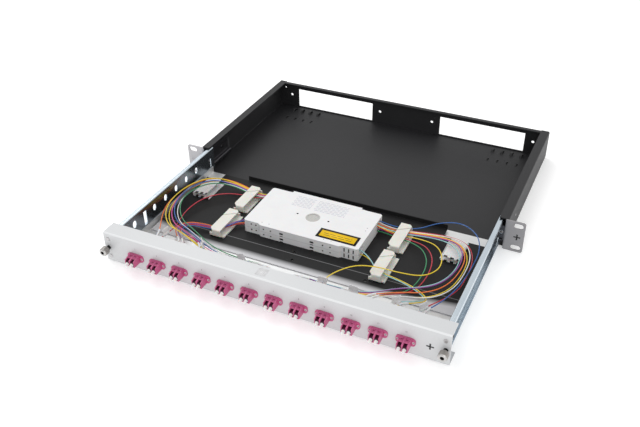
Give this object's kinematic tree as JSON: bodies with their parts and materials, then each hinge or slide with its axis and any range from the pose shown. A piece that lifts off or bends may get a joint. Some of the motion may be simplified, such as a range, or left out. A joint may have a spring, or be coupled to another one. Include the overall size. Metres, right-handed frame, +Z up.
{
  "type": "sliding fibre splice panel",
  "caption": "Rack-mounted sliding drawer with duplex optical adapters, two stacked splice trays, fibre guides and coiled pigtails, shown pulled out of its shallow steel housing.",
  "frame": {"origin": "centre of the rack slot pattern, on the front face of the ears", "axes": "+X to the right seen from the front, +Y to the back into the rack, +Z up"},
  "size_m": [0.4826, 0.4845, 0.0436],
  "materials": {
    "housing_black": "fine black powder coat",
    "ear_grey": "mid grey coat",
    "zinc_plate": "bluish zinc plating",
    "nut_steel": "plain steel",
    "rivet_steel": "bare",
    "panel_grey": "light grey powder coat",
    "plate_black": "satin black coat",
    "cassette_white": "moulded",
    "cover_white": "moulded",
    "comb_grey": "moulded",
    "guide_ivory": "moulded",
    "clamp_milky": "translucent",
    "adapter_magenta": "moulded",
    "cap_white": "soft moulded",
    "plug_white": "moulded",
    "screw_nickel": "nickel plated",
    "retainer_steel": "plain",
    "screw_zinc": "zinc plated",
    "fibre_01": "red coating",
    "fibre_02": "green coating",
    "fibre_03": "blue coating",
    "fibre_04": "yellow coating",
    "fibre_05": "white coating",
    "fibre_06": "grey coating",
    "fibre_07": "orange coating",
    "fibre_08": "yellow coating",
    "fibre_09": "violet coating",
    "fibre_10": "turquoise coating",
    "fibre_11": "red coating",
    "fibre_12": "orange coating"
  },
  "bodies": {
    "housing_assembly": {"housing": "housing_black", "ear_left": "ear_grey", "ear_right": "ear_grey", "slide_guide_left": "zinc_plate", "slide_guide_right": "zinc_plate", "receiver_nuts": "nut_steel", "ear_rivets": "rivet_steel"},
    "drawer": {"front_panel": "panel_grey", "slide_rail_left": "zinc_plate", "slide_rail_right": "zinc_plate", "drawer_base": "zinc_plate", "mounting_plate": "plate_black", "cassette_lower": "cassette_white", "cassette_upper": "cassette_white", "splice_comb_lower": "comb_grey", "splice_comb_upper": "comb_grey", "cassette_stud": "nut_steel", "fibre_guide_rear_left": "guide_ivory", "fibre_guide_front_left": "guide_ivory", "fibre_guide_rear_right": "guide_ivory", "fibre_guide_front_right": "guide_ivory", "cable_clamp_left": "clamp_milky", "cable_clamp_right": "clamp_milky", "adapter_01": "adapter_magenta", "adapter_02": "adapter_magenta", "adapter_03": "adapter_magenta", "adapter_04": "adapter_magenta", "adapter_05": "adapter_magenta", "adapter_06": "adapter_magenta", "adapter_07": "adapter_magenta", "adapter_08": "adapter_magenta", "adapter_09": "adapter_magenta", "adapter_10": "adapter_magenta", "adapter_11": "adapter_magenta", "adapter_12": "adapter_magenta", "dust_caps": "cap_white", "pigtail_plugs": "plug_white", "panel_screws": "screw_zinc", "pigtail_pair_01": "fibre_01", "pigtail_pair_02": "fibre_02", "pigtail_pair_03": "fibre_03", "pigtail_pair_04": "fibre_04", "pigtail_pair_05": "fibre_05", "pigtail_pair_06": "fibre_06", "pigtail_pair_07": "fibre_07", "pigtail_pair_08": "fibre_08", "pigtail_pair_09": "fibre_09", "pigtail_pair_10": "fibre_10", "pigtail_pair_11": "fibre_11", "pigtail_pair_12": "fibre_12"},
    "cassette_lid": {"cassette_cover": "cover_white"},
    "screw_carrier_left": {"thumbscrew_retainer_left": "retainer_steel"},
    "screw_carrier_right": {"thumbscrew_retainer_right": "retainer_steel"},
    "screw_left": {"thumbscrew_left": "screw_nickel"},
    "screw_right": {"thumbscrew_right": "screw_nickel"}
  },
  "joints": [
    {"name": "drawer_slide", "type": "slide", "parent": "housing_assembly", "child": "drawer", "axis": [0, 1, 0], "range_m": [0, 0.2]},
    {"name": "cassette_lid_hinge", "type": "hinge", "parent": "drawer", "child": "cassette_lid", "pos_m": [-0.012, -0.0227, -0.0005], "axis": [-1, 0, 0], "range_deg": [0, 110]},
    {"name": "screw_push_left", "type": "slide", "parent": "drawer", "child": "screw_carrier_left", "axis": [0, 1, 0], "range_m": [0, 0.004]},
    {"name": "screw_turn_left", "type": "hinge", "parent": "screw_carrier_left", "child": "screw_left", "pos_m": [-0.2123, -0.2215, 0], "axis": [0, -1, 0], "continuous": true},
    {"name": "screw_push_right", "type": "slide", "parent": "drawer", "child": "screw_carrier_right", "axis": [0, 1, 0], "range_m": [0, 0.004]},
    {"name": "screw_turn_right", "type": "hinge", "parent": "screw_carrier_right", "child": "screw_right", "pos_m": [0.2123, -0.2215, 0], "axis": [0, -1, 0], "continuous": true}
  ]
}
